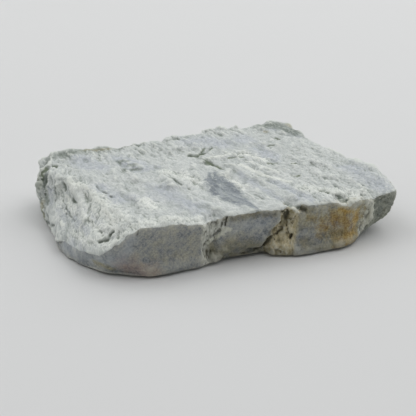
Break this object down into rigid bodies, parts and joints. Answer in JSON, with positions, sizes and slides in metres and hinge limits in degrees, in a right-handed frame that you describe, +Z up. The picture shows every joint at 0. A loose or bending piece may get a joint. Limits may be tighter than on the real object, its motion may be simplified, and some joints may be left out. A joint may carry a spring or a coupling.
{
  "type": "raw seraphinite slice",
  "caption": "Hand-sized rough slab of feathery grey-green mineral with a worn rind on its flank and a flat underside to rest on.",
  "frame": {"origin": "centre of the flat underside's bounding box", "axes": "+X along the slab towards its round nose, +Y away from the worn front flank, +Z up through the broken top"},
  "size_m": [0.1082, 0.0776, 0.0185],
  "materials": {
    "raw_seraphinite": "broken and worn stone, matt with a faint silky sheen"
  },
  "bodies": {
    "root": {"seraphinite_slice": "raw_seraphinite"}
  },
  "joints": []
}
